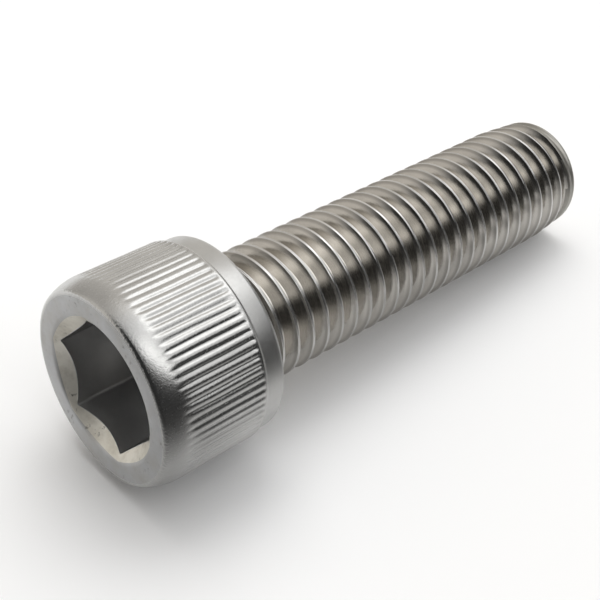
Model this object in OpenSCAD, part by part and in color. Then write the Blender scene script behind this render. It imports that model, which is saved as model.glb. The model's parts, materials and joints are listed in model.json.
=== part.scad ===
// Socket head cap screw with a knurled head, a hexagon socket and a thread rolled up to the head.
// It is one forged and rolled piece. The screw is drawn along +Z, with the face of its head at
// zero, and is then laid on its side: the head's knurl and the thread's far end touch the ground.
// In that pose the screw's own +X looks straight down, and angles round the axis start there.

/* [Head] */
// Diameter over the knurl's ridges
head_d = 21.1; // [20.4:0.1:23]
// Height of the head, from its face to the bearing face
head_h = 13.8; // [12.5:0.1:16]
// Diameter of the flat ring round the socket's mouth
face_d = 19.0; // [17.6:0.1:19.2]
// Radius of the small edge between the face and the crowned shoulder
face_edge_r = 0.5; // [0.3:0.05:0.7]
// Length of the crowned shoulder along the axis
shoulder_h = 2.9; // [2.4:0.1:3.6]
// Radius of the rounded rim of the bearing face
rim_r = 0.5; // [0.2:0.05:0.6]
// Diameter of the plain band behind the knurl
band_d = 20.4; // [19.9:0.1:20.4]
// Length of the plain band along the axis
band_h = 2.2; // [1.4:0.1:3]
// Length of the bevel between the knurl and the band
band_bevel = 0.4; // [0.2:0.1:0.8]

/* [Knurl] */
// Number of ridges round the head
ridge_count = 78; // [60:2:100]
// Height of a ridge above its valley
ridge_h = 0.2; // [0.15:0.01:0.3]
// Width of a ridge's top, as a share of the spacing
ridge_top = 0.32; // [0.2:0.02:0.5]
// Width of a valley's floor, as a share of the spacing
ridge_valley = 0.12; // [0.04:0.02:0.3]

/* [Socket] */
// Width of the hexagon across its flats
socket_w = 12.1; // [11:0.1:12.5]
// Depth of the hexagon's flats
socket_depth = 7.6; // [5:0.1:8.5]
// Angle of one corner of the hexagon from straight down
socket_turn = 42; // [0:1:59]
// Diameter of the countersink at the face
sink_d = 15.1; // [14.7:0.1:15.8]
// Angle between opposite sides of the countersink
sink_angle = 100; // [90:5:120]
// Angle between opposite sides of the cone at the socket's end
drill_angle = 130; // [118:1:150]
// Diameter of the cone at the socket's end
drill_d = 11.6; // [9:0.1:11.9]

/* [Shank] */
// Length from the bearing face to the tip
shank_l = 50; // [30:1:60]
// Diameter over the thread's crests, a little under the nominal size
thread_d = 13.9; // [13.4:0.05:14]
// Distance from one turn of the thread to the next
pitch = 2; // [1.5:0.05:2.2]
// Angle at which the first crest leaves the bearing face
thread_turn = 125; // [0:1:359]
// Radius of the fillet under the head
neck_r = 0.6; // [0.4:0.05:0.8]
// Length over which the thread grows to its full depth below the head
run_in = 2.4; // [1:0.1:4]
// Share of the thread's depth that is there at the bearing face
run_in_start = 0.35; // [0.2:0.05:0.9]

/* [Tip] */
// Length over which the crests taper towards the tip
taper_l = 5.5; // [3:0.1:8]
// Angle of the taper from the axis
taper_angle = 5.5; // [3:0.5:8]
// Radius of the rounded end
tip_r = 0.7; // [0.4:0.05:1.2]
// Length over which the last groove fades out before the rounded end
fade_l = 1.5; // [0.5:0.1:3]

/* [Hidden] */
$fn = 96;

// Flat segments in one turn of the thread
turn_steps = 24;
// How far a cutting tool reaches past the surface that it opens
past = 1;

head_r = head_d / 2;
face_r = face_d / 2;
band_r = band_d / 2;
valley_r = head_r - ridge_h;
bevel_end = head_h - band_h;
bevel_start = bevel_end - band_bevel;

// The crown is an arc that ends along the axis at the ridges' tops, and that takes over from the
// small edge where both have the same slope. Its radius follows from the drop between them. It is
// drawn with a few short cones, which the valleys of the knurl cut cleanly.
crown_turn = 2 * atan((head_r - face_r - face_edge_r) / (shoulder_h - face_edge_r));
crown_r = face_edge_r + (shoulder_h - face_edge_r) / sin(crown_turn);
crown_steps = 5;

socket_corner_r = socket_w / sqrt(3);
sink_depth = (sink_d - socket_w) / 2 / tan(sink_angle / 2);
drill_h = drill_d / 2 / tan(drill_angle / 2);

// Basic profile of a metric thread: 60 degrees between flanks, a flat crest of an eighth of the
// pitch, and a rounded root a little below the basic one
thread_r = thread_d / 2;
flank_angle = 30;
crest_w = pitch / 8;
thread_depth = 0.6134 * pitch;
root_r = thread_r - thread_depth;
blank_r = thread_r - 3 / 8 * pitch * cos(flank_angle);
root_w = pitch - crest_w - 2 * thread_depth * tan(flank_angle);
root_round = 0.12 * thread_depth;

total_l = head_h + shank_l;
taper_start = total_l - taper_l;
tip_edge = total_l - tip_r + tip_r * sin(taper_angle);
tip_flat = tip_edge + tip_r * (90 - taper_angle) * PI / 180;
tip_center_r = thread_r - (tip_edge - taper_start) * tan(taper_angle) - tip_r * cos(taper_angle);

// At rest the screw touches the ground at the end of the knurl and where the taper starts. Two
// ridges carry the head, with a valley between them, so the contact lies just inside the tops.
// A flat segment of the thread's crest carries the other end.
ridge_step = 360 / ridge_count;
contact_r = head_r * cos(ridge_step * (1 - ridge_top) / 2);
far_contact_r = thread_r * cos(180 / turn_steps);
tilt = atan((contact_r - far_contact_r) / (taper_start - bevel_start));
ground = bevel_start * sin(tilt) + contact_r * cos(tilt);
back_x = face_edge_r * cos(tilt) - face_r * sin(tilt) - face_edge_r;
front_x = (total_l - tip_r) * cos(tilt) + tip_center_r * sin(tilt) + tip_r;
middle_x = (back_x + front_x) / 2;

// Outline of the head on one side of the axis: radius across, distance from the face along it
module head_outline() {
    crown = [
        for (i = [0 : crown_steps])
            let (rise = crown_turn * (1 - i / crown_steps))
            [head_r - crown_r * (1 - cos(rise)), shoulder_h - crown_r * sin(rise)]
    ];
    union() {
        square([face_r, shoulder_h]);
        translate([face_r, face_edge_r])
            circle(r = face_edge_r);
        polygon(concat([[0, crown[0][1]]], crown, [
            [head_r, bevel_start],
            [band_r, bevel_end],
            [band_r, head_h - rim_r],
            [0, head_h - rim_r]
        ]));
        translate([0, bevel_end])
            square([band_r - rim_r, head_h - bevel_end]);
        translate([band_r - rim_r, head_h - rim_r])
            circle(r = rim_r);
    }
}

// Section of the knurled bar that the head's ridges are cut from
module knurl_section() {
    top = ridge_step * ridge_top / 2;
    floor_w = ridge_step * ridge_valley / 2;
    half = ridge_step / 2;
    polygon([
        for (i = [0 : ridge_count - 1])
            let (middle = (i + 0.5) * ridge_step)
            for (corner = [
                [head_r, middle - top],
                [head_r, middle + top],
                [valley_r, middle + half - floor_w],
                [valley_r, middle + half + floor_w]
            ])
            [corner[0] * cos(corner[1]), corner[0] * sin(corner[1])]
    ]);
}

// The ridges run out into the crown, because the crown falls below their valleys
module head_blank() {
    intersection() {
        rotate_extrude()
            head_outline();
        translate([0, 0, -past])
            linear_extrude(height = head_h + 2 * past)
                knurl_section();
    }
}

// Hexagon, the countersink that breaks its corners, and the cone that it ends in
module socket() {
    rotate([0, 0, socket_turn])
        translate([0, 0, -past])
            cylinder(h = socket_depth + past, r = socket_corner_r, $fn = 6);
    translate([0, 0, -past])
        cylinder(h = past + sink_depth, r1 = sink_d / 2 + past * tan(sink_angle / 2), r2 = socket_w / 2);
    translate([0, 0, socket_depth - past])
        cylinder(h = past, r = drill_d / 2);
    translate([0, 0, socket_depth])
        cylinder(h = drill_h, r1 = drill_d / 2, r2 = 0);
}

// Concave ring between the bearing face and the shank
module neck() {
    rotate_extrude()
        difference() {
            translate([0, head_h - past])
                square([blank_r + neck_r, past + neck_r]);
            translate([blank_r + neck_r, head_h + neck_r])
                circle(r = neck_r);
        }
}

// Corners of the thread's profile over one pitch: distance from the crest's middle, and height
// above the blank that the thread is rolled on
thread_profile = [
    [-crest_w / 2, thread_r - blank_r],
    [crest_w / 2, thread_r - blank_r],
    [(pitch - root_w) / 2, root_r - blank_r],
    [pitch / 2, root_r - root_round - blank_r],
    [(pitch + root_w) / 2, root_r - blank_r]
];
corners = len(thread_profile);

// Share of the thread's height at a distance s along the screw: it grows below the head, and the
// grooves fade out where the end is rounded
function growth(s) =
    let (part = min(1, max(0, (s - head_h) / run_in)))
    run_in_start + (1 - run_in_start) * part * part * (3 - 2 * part);

function fade(s) = min(1, max(0, (tip_edge - s) / fade_l));

// Radius and place of the bar's skin at a distance s, which runs along the taper, round the edge
// of the tip and then across the flat end towards the axis
function tip_outline(s) =
    let (edge_turn = taper_angle + (s - tip_edge) / tip_r * 180 / PI)
    s < tip_edge ? [thread_r - max(0, s - taper_start) * tan(taper_angle), s] :
    s < tip_flat ? [tip_center_r + tip_r * cos(edge_turn), total_l - tip_r + tip_r * sin(edge_turn)] :
    [tip_center_r - (s - tip_flat), total_l];

// Corner number m of the profile, counted along the axis, on the ray at a turn of k and a half
// steps. The half puts the middle of a flat segment, and not an edge, on the ground.
function thread_point(k, m) =
    let (
        corner = thread_profile[m % corners],
        turn = 360 * (k + 0.5) / turn_steps,
        s = first_crest + pitch * (floor(m / corners) + turn / 360) + corner[0],
        skin = tip_outline(s),
        drop = thread_r - blank_r - corner[1] * growth(s),
        r = skin[0] - drop * fade(s)
    )
    [r * cos(turn), r * sin(turn), skin[1]];

// The first crest starts inside the head, and the last turn ends on the flat of the tip
first_crest = head_h - pitch * (1 + thread_turn / 360);
rows = corners * ceil((tip_flat - first_crest) / pitch);
// Rows on the first ray, which also closes the last turn, and then on each other ray
first_rows = rows + corners + 1;
other_rows = rows + 1;

// Place of a corner in the list of points. A whole turn leads back to the first ray, one pitch on.
function thread_index(k, m) =
    k == turn_steps ? m + corners :
    k == 0 ? m :
    first_rows + (k - 1) * other_rows + m;

// The threaded bar: a skin of strips that follow the helix, closed at both ends by a fan
module thread_bar() {
    points = concat(
        [for (m = [0 : first_rows - 1]) thread_point(0, m)],
        [for (k = [1 : turn_steps - 1]) for (m = [0 : other_rows - 1]) thread_point(k, m)],
        [[0, 0, first_crest + pitch / 2], [0, pitch / 4, total_l]]
    );
    low_center = len(points) - 2;
    high_center = len(points) - 1;
    skin = [
        for (k = [0 : turn_steps - 1])
            for (m = [0 : rows - 1])
            let (
                a = thread_index(k, m),
                b = thread_index(k + 1, m),
                c = thread_index(k + 1, m + 1),
                d = thread_index(k, m + 1)
            )
            for (face = [[a, c, b], [a, d, c]])
            face
    ];
    ends = [
        for (k = [0 : turn_steps - 1])
            for (face = [
                [low_center, thread_index(k, 0), thread_index(k + 1, 0)],
                [high_center, thread_index(k + 1, rows), thread_index(k, rows)]
            ])
            face
    ];
    steps = [
        for (m = [0 : corners - 1])
            for (face = [
                [low_center, thread_index(0, m + 1), thread_index(0, m)],
                [high_center, thread_index(0, rows + m), thread_index(0, rows + m + 1)]
            ])
            face
    ];
    polyhedron(points = points, faces = concat(skin, ends, steps), convexity = 10);
}

module cap_screw() {
    color([0.68, 0.68, 0.66])
        translate([-middle_x, 0, ground])
            rotate([0, 90 + tilt, 0])
                union() {
                    difference() {
                        union() {
                            head_blank();
                            neck();
                        }
                        socket();
                    }
                    thread_bar();
                }
}

cap_screw();
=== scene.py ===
import json
import math

import bpy
import numpy as np
from mathutils import Matrix, Vector


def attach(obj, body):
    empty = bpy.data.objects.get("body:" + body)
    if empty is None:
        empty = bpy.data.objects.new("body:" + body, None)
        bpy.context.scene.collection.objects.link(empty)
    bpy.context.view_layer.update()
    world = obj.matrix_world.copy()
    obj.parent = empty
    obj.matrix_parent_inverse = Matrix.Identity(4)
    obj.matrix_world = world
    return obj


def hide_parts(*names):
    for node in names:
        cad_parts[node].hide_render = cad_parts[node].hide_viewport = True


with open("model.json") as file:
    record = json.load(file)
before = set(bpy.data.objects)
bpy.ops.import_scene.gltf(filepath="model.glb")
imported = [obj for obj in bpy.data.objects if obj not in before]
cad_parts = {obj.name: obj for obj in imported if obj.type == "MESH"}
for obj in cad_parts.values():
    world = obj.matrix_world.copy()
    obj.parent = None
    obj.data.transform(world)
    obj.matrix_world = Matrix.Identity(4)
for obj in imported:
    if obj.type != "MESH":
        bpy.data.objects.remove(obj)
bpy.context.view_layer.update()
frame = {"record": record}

# Driving sizes of the screw, in millimetres and degrees. Places along it are counted from the head's face.
# The thread's radius and the shank's length are a hair under the solid's, because the skin is round where
# the solid has flat strips, and would reach past them.
MM = 0.001
HEAD_R = 10.55
HEAD_H = 13.8
FACE_R = 9.5
FACE_EDGE_R = 0.5
SHOULDER_H = 2.9
RIM_R = 0.5
BAND_R = 10.2
BAND_H = 2.2
BAND_BEVEL = 0.4
SOCKET_W = 12.1
SOCKET_DEPTH = 7.6
SOCKET_TURN = 42
SINK_R = 7.55
SINK_ANGLE = 100
DRILL_R = 5.8
DRILL_ANGLE = 130
SHANK_L = 49.99
THREAD_R = 6.9
PITCH = 2.0
THREAD_TURN = 125
NECK_R = 0.6
RUN_IN = 2.4
RUN_IN_START = 0.35
TAPER_L = 5.5
TAPER_ANGLE = 5.5
TIP_R = 0.7

# The knurl, in millimetres or as shares of a ridge: its ridges, where they rise and end, how uneven they
# are, and the places of the last rows before the bevel
RIDGE_COUNT = 78
RIDGE_H = 0.135
KNURL_START = 1.3
KNURL_FADE = 2.2
KNURL_FAINT = 0.25
KNURL_LAND = 0.12
KNURL_END = 0.25
KNURL_RAGGED = 0.25
KNURL_WANDER = 0.03
KNURL_UNEVEN = 0.10
KNURL_WAVY = 0.05
KNURL_GAPS = (0.22, 0.1, 0)
RIDGE_BLEND = 0.06

# Rows that hold the face, the band and the bearing face flat up to an edge, and where the face's rows start
FACE_RING = 0.9
FACE_HOLD = 0.06
BAND_HOLD = 0.08
RIM_HOLD = 0.05

# The socket: the soft mouth of its countersink and the shares of its depth at which the cut finish starts
# and its rows end, the lip of its walls, its ledge and its rounded corners
SINK_ROUND = 0.22
SINK_SOFT = 0.20
SINK_FACE = 0.3
SINK_END = 0.97
LIP_H = 0.05
LIP_W = 0.012
LEDGE_H = 0.02
CORNER_CUT = 0.03
CORNER_ROUND = 0.05

# The thread: its rounded root and crests, and how deep the mark of the crests reaches
ROOT_R = 0.17
ROOT_CUT = 0.05
CREST_SOFT = 0.03
CREST_CUT = 0.004
CREST_REACH = 0.6

# The rolled crests: the fine seam in their middle, the small dents, and the rows beside seam and edges
SEAM_W = 0.03
SEAM_DEPTH = 0.05
SEAM_MEAN = 0.55
SEAM_SPREAD = 0.6
SEAM_MOST = 1.3
DENT_DEPTH = 0.02
DENT_REACH = 0.12
DENT_RARE = 0.9
DENT_MOST = 2
SEAM_ROW = 0.035
EDGE_IN = 0.04
EDGE_OUT = 0.05

# The tip: the length over which the thread fades, the length of the dull end, whose colour is darkened as
# painted shade, how far the last rows lie past the edge of the flat end, and the ring in the middle of that
FADE_L = 1.5
TIP_DULL_AND_SHADED = 1.1
END_PAST = 0.2
END_R = 0.8

# Columns of the skin round the head, the socket and the shank. The head's are a multiple of the others.
RIDGE_COLUMNS = 10
HEAD_COLUMNS = RIDGE_COUNT * RIDGE_COLUMNS
SOCKET_COLUMNS = HEAD_COLUMNS // 2
SHANK_COLUMNS = 78

# Rows of the skin along each part of the head and the socket, and the angle at which an edge is sharp
EDGE_ROWS = 5
CROWN_ROWS = 13
RIDGE_ROWS = 11
BEVEL_ROWS = 6
RIM_ROWS = 5
SINK_ROWS = 11
WALL_ROWS = 7
SHARP_ANGLE = 38

# Seeds of the random unevenness, each with its own pattern
LIFT_SEED = 5
WANDER_SEED = 11
WAVY_SEED = 3
SEAM_SEED = 21
DENT_SEED = 8

# Materials of the skin, in the order of its material slots
FACE, CROWN, KNURL, BAND, SINK, WALL, THREAD, END = range(8)

# Colours of the dirt in the pores, of the stain round it, and of the painted shade beside the crests, which
# are bright partly from wear and partly as a painted highlight
DIRT = (0.055, 0.045, 0.032, 1)
STAIN = (0.34, 0.30, 0.22, 1)
STAIN_SHARE = 0.6
CREST_SHADE = (0.12, 0.115, 0.105, 1)
CREST_SHADE_SHARE = 0.42

# Scales of the steel's noises, in waves a metre, or a millimetre for the streaks along the surface, the
# depth of the fine one in millimetres, and how far the grain makes the steel smoother and rougher
MOTTLE_SCALE = 260.0
FINE_SCALE = 2600.0
FINE_DEPTH = 0.0009
PEEL_SCALE = 4200.0
STREAK_ALONG = 14.0
STREAK_CROSS = 55.0
STAIN_SCALE = 330.0
PATCH_SCALE = 420.0
PORE_SCALE = 1900.0
SMOOTHER = 0.025
ROUGHER = 0.05

# Worked out from the sizes
TOTAL_L = HEAD_H + SHANK_L
BEVEL_END = HEAD_H - BAND_H
BEVEL_START = BEVEL_END - BAND_BEVEL
# The metric thread's own flank angle, flat crest, depth and pitch radius, as shares of the pitch
FLANK_ANGLE = math.radians(30)
CREST_W = PITCH / 8
THREAD_DEPTH = 0.6134 * PITCH
BLANK_R = THREAD_R - 3 / 8 * PITCH * math.cos(FLANK_ANGLE)
# The rolled tip: where its rounded edge starts, where the flat end starts, and the edge's middle
TAPER = math.radians(TAPER_ANGLE)
TIP_EDGE = TOTAL_L - TIP_R + TIP_R * math.sin(TAPER)
TIP_FLAT = TIP_EDGE + TIP_R * (math.pi / 2 - TAPER)
TIP_CENTER_R = THREAD_R - (TIP_EDGE - TOTAL_L + TAPER_L) * math.tan(TAPER) - TIP_R * math.cos(TAPER)
# Where the neck's fillet starts and ends, counted along the surface as if it went on from the shank
NECK_END = HEAD_H + NECK_R
NECK_START = NECK_END - NECK_R * math.pi / 2

# The photograph's camera, in metres, fitted to the outline: its place, its direction and its lens
CAMERA_PLACE = (-0.071416, -0.06995, 0.087689)
CAMERA_FORWARD = (0.52132, 0.56319, -0.641126)
CAMERA_RIGHT = (0.73386, -0.679301, 0)
CAMERA_LENS = 71.6
CAMERA_SENSOR = 36
CAMERA_NEAR = 0.001

# The room: its levels and tints, and between which values of a direction's parts each light fades in or out
ROOM_LIGHT = 0.04
SKY_LIGHT = 0.98
STRIP_LIGHT = 1.05
BOX_LIGHT = 1.0
TOP_LIGHT = 0.35
BACK_LIGHT = 0.47
BACK_SLOPE = 0.50
LEFT_SLOPE = 0.36
FRONT_TINT = (1.0, 1.0, 1.0, 1)
BACK_TINT = (1.0, 0.96, 0.90, 1)
BACK_Y = (0.0, 0.55)
SLANT_RISE = 1.1
OPEN_SLANT = (0.45, 0.82)
OPEN_Z = (0.22, 0.66)
OPEN_X = (-0.36, -0.16)
STRIP_SLANT = (0.93, 1.12)
STRIP_Y = (-0.38, -0.2)
BOX_AIM = (-4, 54)
BOX_COSINE = (0.925, 0.992)
TOP_Z = (0.78, 0.93)
TOP_GAP_Z = (0.96, 0.995)
TOP_X = (-0.1, 0.15)

# The lamp behind the screw, in metres and watts
LAMP_PLACE = (0.16, 0.22, 0.60)
LAMP_SIZE = 0.45
LAMP_POWER = 1.9

# The floor, and the dark sheet just above it that paints shade into the metal's reflections, in metres.
# The sheet is clear under the screw and darkens away from it on the side of its azimuth. Beside the head its
# clear part is wider, in front of the face narrower, and there is a painted shadow beside the neck.
FLOOR_HALF = 8.0
FLOOR_GLOW = 0.05
FLOOR_WHITE = (0.88, 0.88, 0.88, 1)
FLOOR_ROUGH = 0.9
FLOOR_GLOSS = 0.1
PAINTED_SHADE_BLACK = (0.02, 0.02, 0.02, 1)
SHADE_SHEET_Z = 0.0003
SHADE_SHEET_X = (-0.025, 0.030)
SHADE_SHEET_HALF = 0.021
SHADE_SHEET_POWER = 3.0
SHADE_SHEET_AZIMUTH = -114
SHADE_SHEET_COSINE = (-0.5, 0.6)
HEAD_RISE = 0.010
HEAD_X = -0.012
HEAD_REACH = 0.013
FACE_DROP = 0.0035
FACE_X = (0.024, 0.032)
NECK_SHADE = 0.62
NECK_X, NECK_Y = 0.002, -0.017
NECK_REACH = (0.002, 0.013)


class Skin:
    """Collects the points, faces and per-point values of the screw's closed surface."""

    def __init__(self):
        self.points = []
        self.along = []
        self.crest = []
        self.faces = []
        self.slots = []
        self.count = 0

    def ring(self, angles, radii, places, along=0.0, crest=0.0):
        """A row of points round the axis or, at a single angle, along it. Returns their numbers."""
        turn = np.radians(angles)
        radii = np.broadcast_to(radii, turn.shape)
        places = np.broadcast_to(places, turn.shape)
        self.points.append(np.stack([radii * np.cos(turn), radii * np.sin(turn), places], 1))
        self.along.append(np.broadcast_to(along, turn.shape))
        self.crest.append(np.broadcast_to(crest, turn.shape))
        first = self.count
        self.count += len(turn)
        return np.arange(first, self.count)

    def face(self, corners, slot):
        """One face from the numbers of its points, and the slot of its material."""
        self.faces.append(tuple(int(corner) for corner in corners))
        self.slots.append(slot)

    def band(self, low, high, slot):
        """Quads between two rings with as many points, the second further along the surface."""
        n = len(low)
        for j in range(n):
            i = (j + 1) % n
            self.face((low[j], low[i], high[i], high[j]), slot)

    def reduce(self, fine, coarse, slot, flip=False):
        """Faces between a fine ring and a coarser one whose columns divide it."""
        n = len(coarse)
        step = len(fine) // n
        for j in range(n):
            many = [fine[(j * step + t) % len(fine)] for t in range(step + 1)]
            corners = many + [coarse[(j + 1) % n], coarse[j]]
            self.face(reversed(corners) if flip else corners, slot)

    def fan(self, ring, center, slot):
        """Triangles from a ring to one point."""
        n = len(ring)
        for j in range(n):
            self.face((ring[j], ring[(j + 1) % n], center), slot)


def wave(x, seed, count=6, low=0.6, high=3.0):
    """A smooth, repeatable wander between about -1 and 1."""
    rng = np.random.default_rng(seed)
    rates = rng.uniform(low, high, count)
    phases = rng.uniform(0, 2 * math.pi, count)
    return sum(np.sin(rate * x + phase) for rate, phase in zip(rates, phases)) / math.sqrt(count)


def ease(share):
    """A share between 0 and 1 that starts and stops softly, and is held outside them."""
    share = np.clip(share, 0, 1)
    return share * share * (3 - 2 * share)


def soft_min(a, b, width):
    """The smaller of two values, with the corner between them rounded."""
    h = np.clip(0.5 + 0.5 * (b - a) / width, 0, 1)
    return b * (1 - h) + a * h - width * h * (1 - h)


def steps(low, high, count):
    """Evenly spaced values from after the low one up to the high one."""
    return np.linspace(low, high, count + 1)[1:]


def head_profile():
    """(radius, distance from the face, slot of the surface up to it) along the head's outside."""
    turn = 2 * math.atan((HEAD_R - FACE_R - FACE_EDGE_R) / (SHOULDER_H - FACE_EDGE_R))
    crown_r = FACE_EDGE_R + (SHOULDER_H - FACE_EDGE_R) / math.sin(turn)
    rows = [(FACE_R - FACE_RING, 0.0, FACE), (FACE_R - FACE_HOLD, 0.0, FACE), (FACE_R, 0.0, CROWN)]
    for t in steps(0, math.pi / 2 - turn, EDGE_ROWS):
        rows.append((FACE_R + FACE_EDGE_R * math.sin(t), FACE_EDGE_R * (1 - math.cos(t)), CROWN))
    for t in steps(turn, 0, CROWN_ROWS):
        rows.append((HEAD_R - crown_r * (1 - math.cos(t)), SHOULDER_H - crown_r * math.sin(t), KNURL))
    # The last rows are closer together, because the ridges end there
    for u in [*steps(SHOULDER_H, BEVEL_START - 0.4, RIDGE_ROWS), *(BEVEL_START - gap for gap in KNURL_GAPS)]:
        rows.append((HEAD_R, u, KNURL))
    for t in steps(0, 1, BEVEL_ROWS):
        drop = (HEAD_R - BAND_R) * (1 - math.cos(math.pi * t)) / 2
        rows.append((HEAD_R - drop, BEVEL_START + BAND_BEVEL * t, BAND))
    rows.append((BAND_R, BEVEL_END + BAND_HOLD, BAND))
    rows.append((BAND_R, HEAD_H - RIM_R, BAND))
    for t in steps(0, math.pi / 2, RIM_ROWS):
        rows.append((BAND_R - RIM_R * (1 - math.cos(t)), HEAD_H - RIM_R * (1 - math.sin(t)), BAND))
    return rows


def knurl_radius(angles, u):
    """Radius of the rolled ridges: rounded tops, narrow valleys, and small unevenness."""
    place = angles / (360 / RIDGE_COUNT) - 0.5
    number = np.round(place)
    rng = np.random.default_rng(LIFT_SEED)
    lift = rng.uniform(-1, 1, RIDGE_COUNT + 1)[(number % RIDGE_COUNT).astype(int)]
    shift = KNURL_WANDER * wave(number * 2.4 + u * 0.35, WANDER_SEED)
    across = np.abs(np.clip(place - number + shift, -0.5, 0.5)) * 2
    height = (0.5 + 0.5 * np.cos(math.pi * across ** 1.1)) ** 0.85
    waviness = wave(u * 2.2 + number * 1.7, WAVY_SEED)
    level = 1 - KNURL_UNEVEN * (1 + lift) / 2 - KNURL_WAVY * (1 + waviness) / 2
    start = ease((u - KNURL_START - KNURL_RAGGED * lift) / KNURL_FADE)
    end = ease((BEVEL_START - KNURL_LAND - u) / KNURL_END)
    depth = RIDGE_H * (KNURL_FAINT + (1 - KNURL_FAINT) * start) * end
    return HEAD_R - depth + depth * height * level


def build_head(skin):
    """The outside of the head, from the flat face to the rim of the bearing face."""
    angles = np.arange(HEAD_COLUMNS) * 360 / HEAD_COLUMNS
    rings = []
    for radius, u, slot in head_profile():
        radii = radius
        if FACE_EDGE_R < u < BEVEL_END + BAND_HOLD / 2:
            radii = np.minimum(soft_min(radius, knurl_radius(angles, u), RIDGE_BLEND), radius)
        rings.append(skin.ring(angles, radii, u))
        if len(rings) > 1:
            skin.band(rings[-2], rings[-1], slot)
    return rings[0], rings[-1]


def hex_radius(angles):
    """Distance from the axis to the wall of the hexagon, with slightly rounded corners."""
    turn = np.radians((angles - SOCKET_TURN) % 60 - 30)
    flat = SOCKET_W / 2 / np.cos(turn)
    corner = SOCKET_W / math.sqrt(3) - CORNER_CUT
    return soft_min(flat, corner, CORNER_ROUND)


def build_socket(skin, face_ring):
    """The countersink, the six walls and the cone that they end in."""
    angles = np.arange(SOCKET_COLUMNS) * 360 / SOCKET_COLUMNS
    slope = math.tan(math.radians(SINK_ANGLE / 2))
    walls = hex_radius(angles)
    depth = (SINK_R - walls) / slope
    mouth_r = SINK_R + SINK_ROUND
    last = skin.ring(angles, mouth_r, 0.0)
    skin.reduce(face_ring, last, FACE, flip=True)
    # The slope bends down softly from the mouth, and has its full depth by the wall
    start = (math.hypot(SINK_ROUND, SINK_SOFT) - SINK_ROUND) / 2
    for t in steps(0, SINK_END, SINK_ROWS):
        radii = mouth_r - (mouth_r - walls) * t
        inward = SINK_R - radii
        soft = (inward + np.sqrt(inward ** 2 + SINK_SOFT ** 2)) / 2
        ring = skin.ring(angles, radii, (soft - start * (1 - t)) / slope)
        skin.band(ring, last, FACE if t < SINK_FACE else SINK)
        last = ring
    rows = [(walls + LIP_W, depth - LIP_W), (walls, depth + LIP_H)]
    for t in steps(0, 1, WALL_ROWS):
        rows.append((walls, depth + LIP_H + (SOCKET_DEPTH - depth - LIP_H) * t))
    rows.append((DRILL_R, SOCKET_DEPTH + LEDGE_H))
    drill_h = DRILL_R / math.tan(math.radians(DRILL_ANGLE / 2))
    for t in (0.35, 0.7, 0.93):
        rows.append((DRILL_R * (1 - t), SOCKET_DEPTH + drill_h * t))
    for radii, u in rows:
        ring = skin.ring(angles, radii, u)
        skin.band(ring, last, WALL)
        last = ring
    center = skin.ring(np.zeros(1), 0.0, SOCKET_DEPTH + drill_h)
    skin.fan(last[::-1], center[0], WALL)


def thread_rows():
    """Places across one pitch, from the middle of a crest, at which the skin has a row."""
    half = CREST_W / 2
    root = PITCH / 2 - (half + THREAD_DEPTH * math.tan(FLANK_ANGLE))
    edge = [SEAM_ROW, half - EDGE_IN, half, half + EDGE_OUT]
    crest = [-place for place in reversed(edge)] + [0.0] + edge
    flank = list(np.linspace(half, PITCH / 2 - root, 5)[1:-1])
    bottom = [PITCH / 2 + root * t for t in (-1.5, -1.0, -0.5, 0.0, 0.5, 1.0, 1.5)]
    back = [PITCH - place for place in reversed(flank)]
    return np.array(crest + flank + bottom + back)


def thread_depth(place, seam):
    """Depth below the crest at a place across the pitch. The rolled crest has a fine seam."""
    off_crest = np.abs((place + PITCH / 2) % PITCH - PITCH / 2)
    off_root = PITCH / 2 - off_crest
    flank = (off_crest - CREST_W / 2) / math.tan(FLANK_ANGLE)
    top = 0.5 * (flank + np.sqrt(flank ** 2 + CREST_SOFT ** 2)) - CREST_CUT
    arc = THREAD_DEPTH + ROOT_CUT - ROOT_R + np.sqrt(np.maximum(ROOT_R ** 2 - off_root ** 2, 0))
    depth = np.where(off_root < ROOT_R * math.cos(FLANK_ANGLE), np.minimum(top, arc), top)
    return depth + seam * SEAM_DEPTH * np.exp(-(off_crest / SEAM_W) ** 2)


def shank_outline(s):
    """Radius and place of the bare shank at a distance s along its surface."""
    r = THREAD_R - np.maximum(0, s - (TOTAL_L - TAPER_L)) * math.tan(TAPER)
    u = s.copy()
    edge = TAPER + (s - TIP_EDGE) / TIP_R
    round_edge = (s >= TIP_EDGE) & (s < TIP_FLAT)
    r = np.where(round_edge, TIP_CENTER_R + TIP_R * np.cos(edge), r)
    u = np.where(round_edge, TOTAL_L - TIP_R + TIP_R * np.sin(edge), u)
    r = np.where(s >= TIP_FLAT, TIP_CENTER_R - (s - TIP_FLAT), r)
    u = np.where(s >= TIP_FLAT, TOTAL_L, u)
    return r, u


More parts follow.
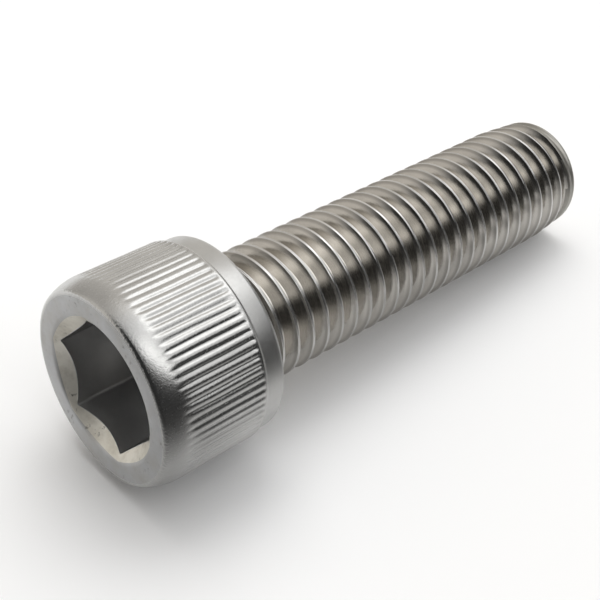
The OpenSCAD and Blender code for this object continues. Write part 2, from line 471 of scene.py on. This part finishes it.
def thread_surface(s, place, helix):
    """Radius, place along the axis and nearness to a crest, from the bearing face to the tip.

    The points are given by their distance s along the surface, their place across the pitch and their
    angle along the helix.
    """
    seam = np.clip(SEAM_MEAN + SEAM_SPREAD * wave(helix * 1.3, SEAM_SEED), 0, SEAM_MOST)
    dent = DENT_DEPTH * np.clip(wave(helix * 3.1, DENT_SEED, 8, 0.8, 7) - DENT_RARE, 0, DENT_MOST)
    depth = thread_depth(place, seam)
    crest = np.clip(1 - depth / CREST_REACH, 0, 1)
    depth = depth + dent * np.clip(1 - depth / DENT_REACH, 0, 1)
    full = THREAD_R - BLANK_R
    growth = RUN_IN_START + (1 - RUN_IN_START) * ease((s - HEAD_H) / RUN_IN)
    fade = np.clip((TIP_EDGE - s) / FADE_L, 0, 1)
    r, u = shank_outline(s)
    r = r - (full - (full - depth) * growth) * fade
    # Behind the neck the surface turns up the fillet and out along the bearing face
    fillet = (NECK_END - s) / NECK_R
    in_fillet = (s < NECK_END) & (s >= NECK_START)
    on_face = s < NECK_START
    r = np.where(in_fillet, BLANK_R + NECK_R * (1 - np.cos(fillet)), r)
    u = np.where(in_fillet, NECK_END - NECK_R * np.sin(fillet), u)
    r = np.where(on_face, BLANK_R + NECK_R + (NECK_START - s), r)
    u = np.where(on_face, HEAD_H, u)
    return r, u, crest * fade


def shank_slot(s):
    """Material of the shank's surface at a distance s along it."""
    if s < NECK_START:
        return BAND
    return THREAD if s < TIP_EDGE - TIP_DULL_AND_SHADED else END


def build_shank(skin, rim_ring):
    """The helical thread, from the bearing face round the neck to the flat end."""
    places = thread_rows()
    per_pitch = len(places)
    first_crest = HEAD_H - PITCH * (1 + THREAD_TURN / 360)
    pitches = math.ceil((TIP_FLAT + END_PAST - first_crest) / PITCH)
    total = per_pitch * pitches
    grid = []
    for k in range(SHANK_COLUMNS):
        # The first column is a pitch longer, because the last one meets it a pitch further on
        m = np.arange(total + 1 + (per_pitch if k == 0 else 0))
        place = places[m % per_pitch]
        s = first_crest + PITCH * (m // per_pitch + k / SHANK_COLUMNS) + place
        turn = 360 * k / SHANK_COLUMNS
        helix = (m // per_pitch) * 2 * math.pi + math.radians(turn)
        r, u, crest = thread_surface(s, place, helix)
        grid.append(skin.ring(np.full(len(s), turn), r, u, s, crest))

    def at(k, m):
        return grid[0][m + per_pitch] if k == SHANK_COLUMNS else grid[k][m]

    for k in range(SHANK_COLUMNS):
        for m in range(total):
            s = first_crest + PITCH * (m // per_pitch + k / SHANK_COLUMNS) + places[m % per_pitch]
            skin.face((at(k, m), at(k + 1, m), at(k + 1, m + 1), at(k, m + 1)), shank_slot(s))

    # The bearing face and the flat end join the first and the last row to a ring. The face in which
    # the first column meets the last has that column's whole pitch on its edge.
    angles = np.arange(SHANK_COLUMNS) * 360 / SHANK_COLUMNS
    outer = skin.ring(angles, BAND_R - RIM_R - RIM_HOLD, HEAD_H)
    skin.reduce(rim_ring, outer, BAND)
    inner = skin.ring(angles, END_R, TOTAL_L)
    for k in range(SHANK_COLUMNS - 1):
        skin.face((outer[k], outer[k + 1], at(k + 1, 0), at(k, 0)), BAND)
        skin.face((at(k, total), at(k + 1, total), inner[k + 1], inner[k]), END)
    last = SHANK_COLUMNS - 1
    first_pitch = grid[0][:per_pitch + 1]
    last_pitch = grid[0][total:]
    skin.face((outer[last], outer[0], *first_pitch, at(last, 0)), BAND)
    skin.face((at(last, total), *reversed(last_pitch), inner[0], inner[last]), END)
    center = skin.ring(np.zeros(1), 0.0, TOTAL_L)
    skin.fan(inner, center[0], END)


def screw_axes():
    """Origin at the middle of the bearing face, and the screw's own three directions."""
    mount = next(m for m in frame["record"]["mounts"] if m["name"] == "thread")
    axis = Vector(mount["axis"]).normalized()
    down = Vector((axis.z, 0, -axis.x))
    side = axis.cross(down)
    return Vector(mount["pos_m"]), down, side, axis


def to_frame(points):
    """Moves points from the screw's own millimetres to the frame."""
    origin, down, side, axis = screw_axes()
    turn = np.array([list(down), list(side), list(axis)])
    local = (points - np.array([0, 0, HEAD_H])) * MM
    return local @ turn + np.array(list(origin))


def add_object(name, data):
    """A new object with this data, linked to the scene."""
    item = bpy.data.objects.new(name, data)
    bpy.context.scene.collection.objects.link(item)
    return item


def build_screw(materials):
    """The closed skin as one object, with its materials and the values that they read."""
    skin = Skin()
    face_ring, rim_ring = build_head(skin)
    build_socket(skin, face_ring)
    build_shank(skin, rim_ring)
    points = to_frame(np.concatenate(skin.points))
    mesh = bpy.data.meshes.new("cap_screw_skin")
    mesh.from_pydata(points.tolist(), [], skin.faces)
    mesh.validate()
    for name, values in (("along", skin.along), ("crest", skin.crest)):
        data = mesh.attributes.new(name, "FLOAT", "POINT")
        data.data.foreach_set("value", np.concatenate(values).astype(np.float32))
    for material in materials:
        mesh.materials.append(material)
    mesh.polygons.foreach_set("material_index", np.array(skin.slots, np.int32))
    mesh.shade_smooth()
    mesh.set_sharp_from_angle(angle=math.radians(SHARP_ANGLE))
    mesh.update()
    return add_object("cap_screw_skin", mesh)


def toward(azimuth, elevation):
    """Unit vector of a direction, in degrees from +X toward +Y and up from the floor."""
    a = math.radians(azimuth)
    e = math.radians(elevation)
    return (math.cos(a) * math.cos(e), math.sin(a) * math.cos(e), math.sin(e))


class Nodes:
    """Short calls for building the nodes of a material or of the world."""

    def __init__(self, owner, shader):
        owner.use_nodes = True
        self.owner = owner
        self.tree = owner.node_tree
        self.shader = self.tree.nodes[shader]

    def add(self, kind, inputs=None, **settings):
        node = self.tree.nodes.new(kind)
        for key, value in settings.items():
            setattr(node, key, value)
        for key, value in (inputs or {}).items():
            self.feed(value, node.inputs[key])
        return node

    def feed(self, value, socket):
        """Links a socket to another, or sets it where the value is a plain one."""
        if isinstance(value, bpy.types.NodeSocket):
            self.tree.links.new(value, socket)
        else:
            socket.default_value = value

    def set(self, **values):
        """Sets or links the shader's own sockets, named with underscores for spaces."""
        for name, value in values.items():
            self.feed(value, self.shader.inputs[name.replace("_", " ")])

    def math(self, operation, a, b=0.0):
        return self.add("ShaderNodeMath", {0: a, 1: b}, operation=operation).outputs[0]

    def product(self, *factors):
        result = factors[0]
        for factor in factors[1:]:
            result = self.math("MULTIPLY", result, factor)
        return result

    def total(self, *terms):
        result = terms[0]
        for term in terms[1:]:
            result = self.math("ADD", result, term)
        return result

    def rest(self, value):
        """What is left of 1."""
        return self.math("SUBTRACT", 1.0, value)

    def length(self, a, b):
        return self.math("SQRT", self.total(self.product(a, a), self.product(b, b)))

    def reach(self, parts, azimuth, elevation):
        """How far a vector, given by its parts, reaches toward a direction in degrees."""
        aim = toward(azimuth, elevation)
        return self.total(*[self.product(part, share) for part, share in zip(parts, aim)])

    def noise(self, vector, scale, detail, rough):
        inputs = {"Vector": vector, "Scale": scale, "Detail": detail, "Roughness": rough}
        return self.add("ShaderNodeTexNoise", inputs).outputs["Fac"]

    def ramp(self, value, low, high, out_low=0.0, out_high=1.0):
        inputs = {"Value": value, "From Min": low, "From Max": high, "To Min": out_low, "To Max": out_high}
        return self.add("ShaderNodeMapRange", inputs).outputs["Result"]

    def smooth(self, value, low, high):
        inputs = {"Value": value, "From Min": low, "From Max": high}
        return self.add("ShaderNodeMapRange", inputs, interpolation_type="SMOOTHSTEP").outputs["Result"]

    def mix(self, factor, a, b):
        """A colour between two. Sockets 0, 6 and 7 are the factor and the two colours."""
        node = self.add("ShaderNodeMix", data_type="RGBA")
        for number, value in ((0, factor), (6, a), (7, b)):
            self.feed(value, node.inputs[number])
        return node.outputs[2]

    def attribute(self, name):
        return self.add("ShaderNodeAttribute", attribute_name=name).outputs["Fac"]

    def place(self):
        return self.add("ShaderNodeTexCoord").outputs["Object"]

    def parts(self, vector):
        return self.add("ShaderNodeSeparateXYZ", {0: vector}).outputs

    def stretched(self, along_scale, cross_scale):
        """A position that runs along the thread's surface at one rate and across it at another."""
        parts = self.parts(self.place())
        along = self.product(self.attribute("along"), along_scale)
        y = self.product(parts[1], cross_scale)
        z = self.product(parts[2], cross_scale)
        return self.add("ShaderNodeCombineXYZ", {0: along, 1: y, 2: z}).outputs[0]

    def vector(self, operation, inputs):
        return self.add("ShaderNodeVectorMath", inputs, operation=operation).outputs[0]

    def leaning(self, amount):
        """The surface's normal, turned a little round the screw's axis."""
        normal = self.add("ShaderNodeNewGeometry").outputs["Normal"]
        around = self.vector("CROSS_PRODUCT", {0: tuple(screw_axes()[3]), 1: normal})
        push = self.vector("SCALE", {0: around, "Scale": amount})
        return self.vector("NORMALIZE", {0: self.vector("ADD", {0: normal, 1: push})})

    def bump(self, height, distance, normal=None):
        inputs = {"Height": height, "Distance": distance, "Strength": 1.0}
        if normal is not None:
            inputs["Normal"] = normal
        return self.add("ShaderNodeBump", inputs).outputs["Normal"]


def dirty(n, place, base, amount):
    """Adds a brown stain and dark pores to a colour."""
    stain = n.ramp(n.noise(place, STAIN_SCALE, 4.0, 0.65), 0.42, 0.75)
    patch = n.smooth(n.noise(place, PATCH_SCALE, 2.0, 0.5), 0.50, 0.70)
    pores = n.smooth(n.noise(place, PORE_SCALE, 3.0, 0.6), 0.56, 0.66)
    base = n.mix(n.product(stain, amount * STAIN_SHARE), base, STAIN)
    return n.mix(n.product(patch, pores, amount), base, DIRT)


def crest_wear_sheen_and_shade(n, base, crest_wear_and_sheen):
    """Adds bright crests to a colour, partly as wear and partly as a painted highlight, with painted shade
    beside them.
    """
    crest = n.attribute("crest")
    base = n.mix(n.product(n.smooth(crest, 0.25, 0.75), CREST_SHADE_SHARE), base, CREST_SHADE)
    return n.mix(n.smooth(crest, 0.90, 1.0), base, (*crest_wear_and_sheen, 1))


def steel(name, color, dark, rough, grain, grain_depth, streak=0.0, peel=0.0, dirt=0.0, lean=0.0, crest_wear_and_sheen=None):
    """Stainless steel: a soft grain and fine speckle, with streaks, an orange peel or dirt where they are.

    Grain is the scale of the grain, and grain_depth, streak and peel are depths in millimetres. Lean turns
    the shading round the screw's axis, so that its highlight falls where the photo's does. The last argument
    is the colour of the crests, brighter than the rest partly as wear and partly as a painted highlight,
    with painted shade beside them.
    """
    n = Nodes(bpy.data.materials.new(name), "Principled BSDF")
    place = n.place()
    mottle = n.ramp(n.noise(place, MOTTLE_SCALE, 4.0, 0.6), 0.3, 0.7)
    fine = n.noise(place, FINE_SCALE, 2.0, 0.6)
    grainy = n.noise(place, grain, 3.0, 0.65)
    tint = n.total(n.product(mottle, 0.7), n.product(fine, 0.3))
    base = n.mix(tint, (*dark, 1), (*color, 1))
    if dirt:
        base = dirty(n, place, base, dirt)
    if crest_wear_and_sheen:
        base = crest_wear_sheen_and_shade(n, base, crest_wear_and_sheen)
    wear = n.ramp(grainy, 0.3, 0.7, rough - SMOOTHER, rough + ROUGHER)
    normal = n.bump(grainy, grain_depth * MM, n.leaning(lean) if lean else None)
    normal = n.bump(fine, FINE_DEPTH * MM, normal)
    if streak:
        lines = n.noise(n.stretched(STREAK_ALONG, STREAK_CROSS), 1.0, 4.0, 0.7)
        normal = n.bump(lines, streak * MM, normal)
        wear = n.total(wear, n.ramp(lines, 0.35, 0.7, -0.03, 0.06))
    if peel:
        normal = n.bump(n.noise(place, PEEL_SCALE, 1.5, 0.5), peel * MM, normal)
    n.set(Base_Color=base, Metallic=1.0, Roughness=wear, Normal=normal)
    return n.owner


def screw_materials():
    """One finish for each part of the surface, in the order of the slot numbers."""
    bright = (0.575, 0.573, 0.562)
    dim = (0.485, 0.483, 0.472)
    return [
        steel("face_satin", (0.585, 0.589, 0.593), (0.48, 0.485, 0.49), 0.34, 2200.0, 0.006, dirt=0.6),
        steel("crown_polish", bright, dim, 0.10, 3800.0, 0.006, peel=0.035),
        steel("knurl_roll", bright, dim, 0.23, 5200.0, 0.016),
        steel("band_turned", bright, dim, 0.34, 3600.0, 0.008),
        # The countersink's colour is raised far above the steel's as painted light; its dirt is its own
        steel("sink_cut_and_painted_light", (0.97, 0.95, 0.88), (0.84, 0.81, 0.73), 0.50, 2400.0, 0.008, dirt=1.0),
        # The socket walls' colour is raised above the steel's as painted light in the recess
        steel("socket_wall_painted_light", (0.66, 0.66, 0.66), (0.55, 0.55, 0.55), 0.30, 1500.0, 0.003),
        # The crests are bright partly from wear and partly as a painted highlight, with painted shade beside
        # them
        steel("thread_roll", (0.62, 0.595, 0.555), (0.485, 0.465, 0.43), 0.16, 2600.0, 0.004,
              streak=0.004, lean=0.10, crest_wear_and_sheen=(0.62, 0.61, 0.595)),
        # The end is rough, and its colour is darkened as painted shade
        steel("tip_end", (0.42, 0.405, 0.37), (0.33, 0.32, 0.295), 0.40, 2200.0, 0.006),
    ]


def level_sheet(name, z, material):
    """A level square round the origin, as wide as the floor, and the nodes of its material."""
    half = FLOOR_HALF
    corners = [(-half, -half, z), (half, -half, z), (half, half, z), (-half, half, z)]
    mesh = bpy.data.meshes.new(name)
    mesh.from_pydata(corners, [], [(0, 1, 2, 3)])
    sheet = add_object(name, mesh)
    n = Nodes(bpy.data.materials.new(material), "Principled BSDF")
    mesh.materials.append(n.owner)
    return sheet, n


def floor_and_backdrop():
    """A white floor, wide enough to be the backdrop too."""
    floor, n = level_sheet("floor", 0, "floor_white")
    # What looks at the floor, straight or by a reflection, sees it a little whiter than its light makes it
    ray = n.add("ShaderNodeLightPath").outputs
    seen = n.math("MAXIMUM", ray["Is Camera Ray"], ray["Is Glossy Ray"])
    seen = n.math("MAXIMUM", seen, ray["Is Transmission Ray"])
    n.set(Base_Color=FLOOR_WHITE, Roughness=FLOOR_ROUGH, Specular_IOR_Level=FLOOR_GLOSS)
    n.set(Emission_Color=(1, 1, 1, 1), Emission_Strength=n.product(seen, FLOOR_GLOW))


def world_light():
    """A dim room with a broad light above the camera's right, and a softer one behind."""
    n = Nodes(bpy.data.worlds.new("studio"), "Background")
    bpy.context.scene.world = n.owner
    x, y, z = n.parts(n.add("ShaderNodeTexCoord").outputs["Generated"])
    behind = n.smooth(y, *BACK_Y)
    slant = n.total(x, n.product(z, SLANT_RISE))
    open_side = n.product(n.smooth(slant, *OPEN_SLANT), n.smooth(z, *OPEN_Z), n.smooth(x, *OPEN_X))
    strip = n.product(n.rest(n.smooth(slant, *STRIP_SLANT)), n.rest(n.smooth(y, *STRIP_Y)), STRIP_LIGHT)
    box = n.product(n.smooth(n.reach((x, y, z), *BOX_AIM), *BOX_COSINE), BOX_LIGHT)
    near_side = n.product(n.rest(behind), open_side, n.total(strip, box, SKY_LIGHT))
    back_slope = n.math("MAXIMUM", n.product(x, BACK_SLOPE), n.product(x, -LEFT_SLOPE))
    far_side = n.product(behind, n.total(back_slope, BACK_LIGHT))
    top_ring = n.product(n.smooth(z, *TOP_Z), n.rest(n.smooth(z, *TOP_GAP_Z)))
    top = n.product(top_ring, n.smooth(x, *TOP_X), TOP_LIGHT)
    n.set(Strength=n.total(near_side, far_side, top, ROOM_LIGHT))
    n.set(Color=n.mix(behind, FRONT_TINT, BACK_TINT))


def painted_shade_sheet():
    """A dark sheet on the floor at the camera's side that paints shade into the metal's reflections, which
    alone show it.
    """
    shade_sheet, n = level_sheet("painted_shade_sheet", SHADE_SHEET_Z, "painted_shade_sheet_dark")
    for ray in ("camera", "diffuse", "shadow", "transmission", "volume_scatter"):
        setattr(shade_sheet, "visible_" + ray, False)
    x, y = n.parts(n.place())[:2]
    # Distance from the strip of floor under the screw, as a share of the half width at that place
    low_x, high_x = SHADE_SHEET_X
    along = n.math("SUBTRACT", x, n.math("MINIMUM", n.math("MAXIMUM", x, low_x), high_x))
    off_head = n.math("ABSOLUTE", n.math("SUBTRACT", x, HEAD_X))
    rise = n.product(n.rest(n.smooth(off_head, 0.0, HEAD_REACH)), HEAD_RISE)
    drop = n.product(n.smooth(n.product(x, -1.0), *FACE_X), FACE_DROP)
    half = n.math("SUBTRACT", n.total(SHADE_SHEET_HALF, rise), drop)
    share = n.math("DIVIDE", n.length(along, y), half)
    growth = n.math("POWER", share, SHADE_SHEET_POWER)
    cover = n.math("DIVIDE", growth, n.total(growth, 1.0))
    # A painted shadow beside the neck
    off_neck = n.length(n.math("SUBTRACT", x, NECK_X), n.math("SUBTRACT", y, NECK_Y))
    shade = n.product(n.rest(n.smooth(off_neck, *NECK_REACH)), NECK_SHADE)
    cosine = n.math("DIVIDE", n.reach((x, y), SHADE_SHEET_AZIMUTH, 0), n.length(x, y))
    side = n.smooth(cosine, *SHADE_SHEET_COSINE)
    n.set(Base_Color=PAINTED_SHADE_BLACK, Roughness=1.0, Alpha=n.product(side, n.math("MAXIMUM", cover, shade)))


def lamp_behind():
    """One soft lamp above and behind the screw, which the metal doesn't mirror."""
    data = bpy.data.lights.new("behind", "AREA")
    data.shape = "RECTANGLE"
    data.size = LAMP_SIZE
    data.size_y = LAMP_SIZE
    data.energy = LAMP_POWER
    lamp = add_object("behind", data)
    lamp.location = LAMP_PLACE
    lamp.rotation_euler = (-Vector(LAMP_PLACE)).to_track_quat("-Z", "Y").to_euler()
    lamp.visible_glossy = False


def add_camera():
    """The photograph's view."""
    data = bpy.data.cameras.new("camera")
    data.sensor_width = CAMERA_SENSOR
    data.lens = CAMERA_LENS
    data.clip_start = CAMERA_NEAR
    camera = add_object("camera", data)
    forward = Vector(CAMERA_FORWARD).normalized()
    right = Vector(CAMERA_RIGHT).normalized()
    up = right.cross(forward)
    turn = Matrix((right, up, -forward)).transposed()
    camera.matrix_world = Matrix.Translation(CAMERA_PLACE) @ turn.to_4x4()
    bpy.context.scene.camera = camera


bpy.context.scene.view_settings.view_transform = "Standard"
add_camera()
floor_and_backdrop()
world_light()
painted_shade_sheet()
lamp_behind()

screw = build_screw(screw_materials())
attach(screw, "root")
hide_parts("cap_screw")
